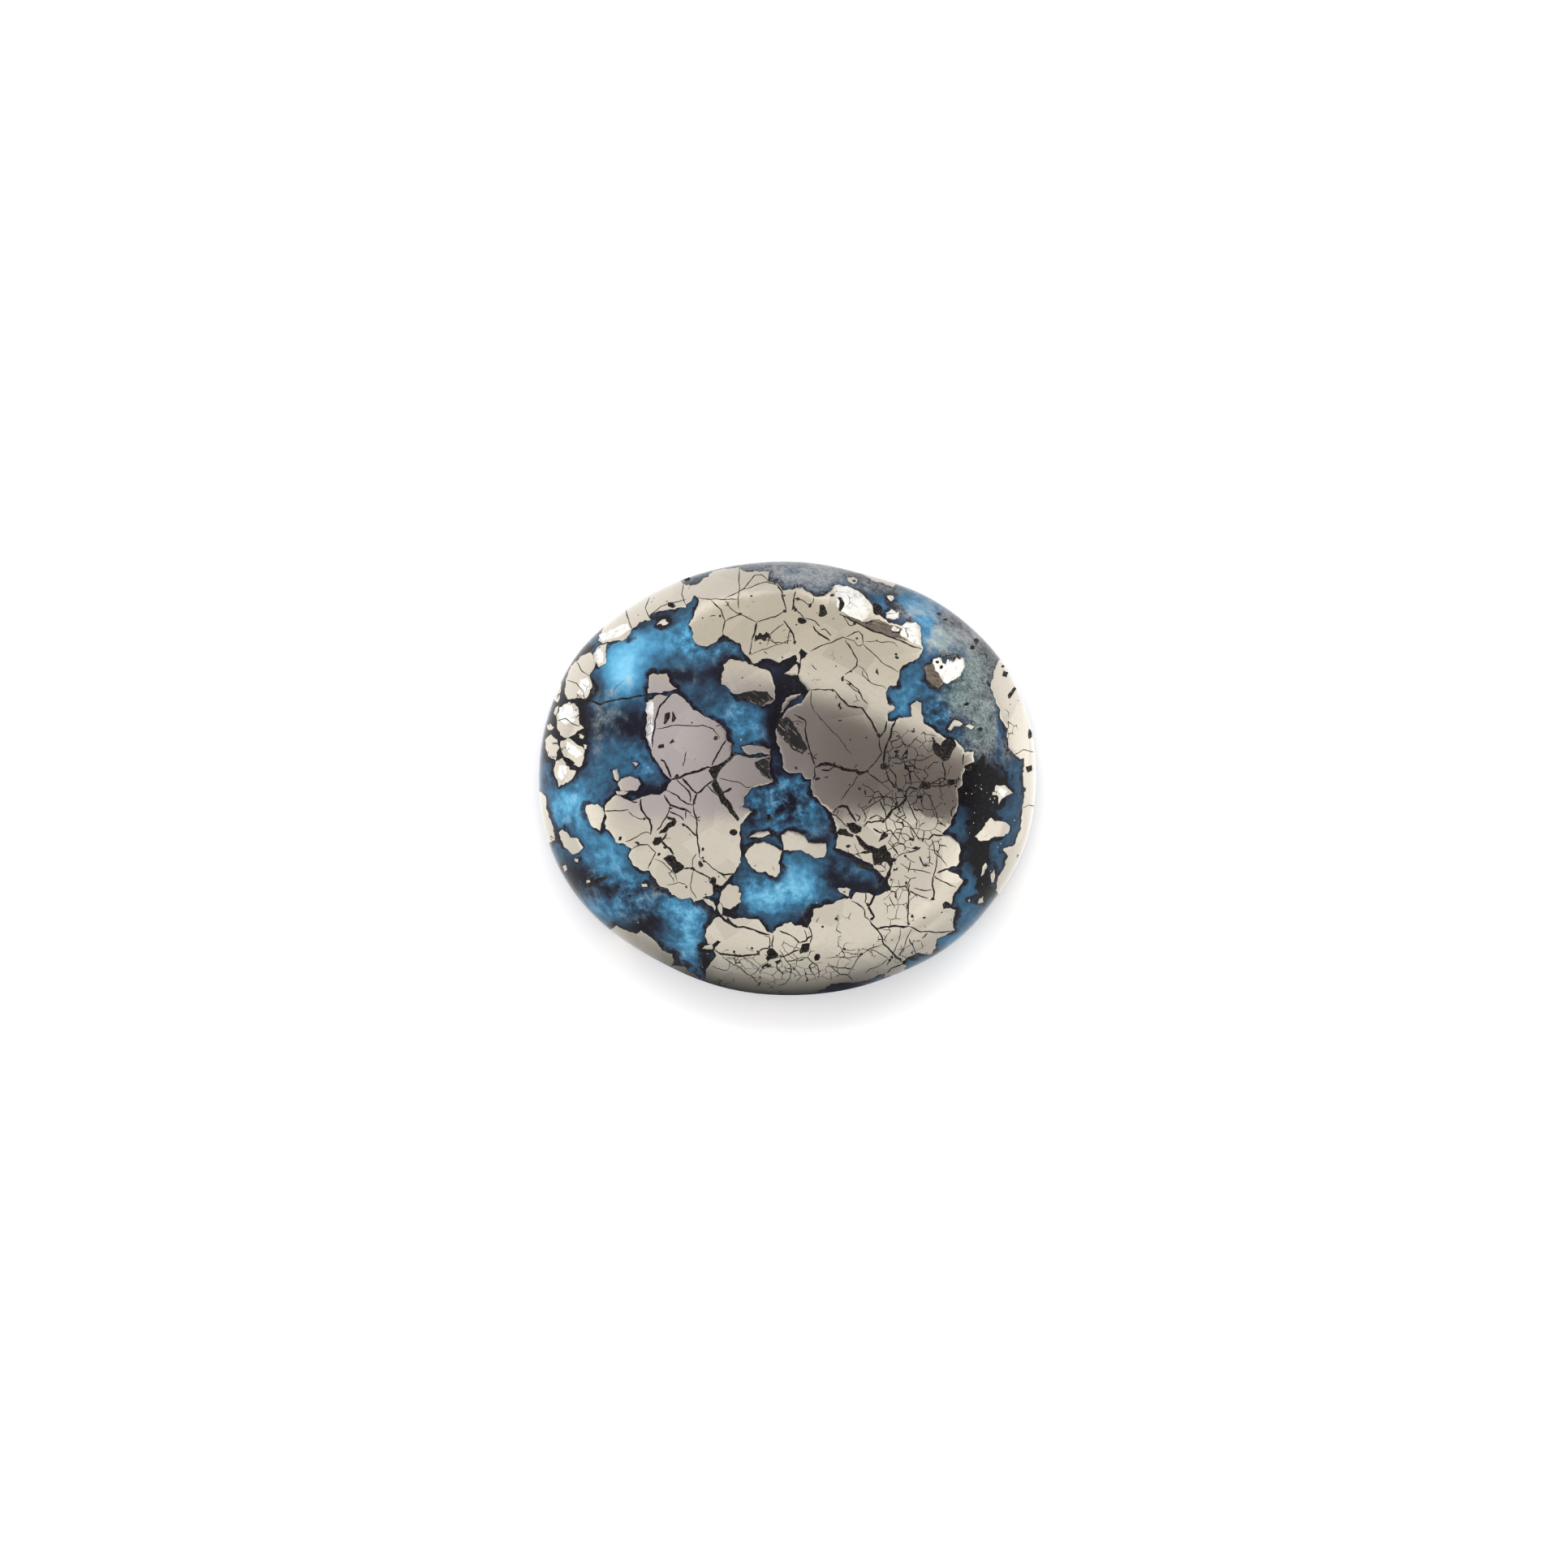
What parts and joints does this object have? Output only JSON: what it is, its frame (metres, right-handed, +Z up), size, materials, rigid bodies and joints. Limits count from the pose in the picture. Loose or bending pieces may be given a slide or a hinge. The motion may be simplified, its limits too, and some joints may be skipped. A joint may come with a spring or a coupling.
{
  "type": "polished turquoise cabochon",
  "caption": "Oval domed gem cabochon with a flat back, of turquoise and dark matrix set through with pyrite, lying on its back.",
  "frame": {"origin": "centre of the flat back, at the surface that the stone lies on", "axes": "+Z up through the dome, +X along the oval's longer way, +Y along its shorter way"},
  "size_m": [0.02, 0.0174, 0.0062],
  "materials": {
    "polished_stone": "polished turquoise, dark matrix and pyrite"
  },
  "bodies": {
    "root": {"turquoise_stone": "polished_stone"}
  },
  "joints": []
}
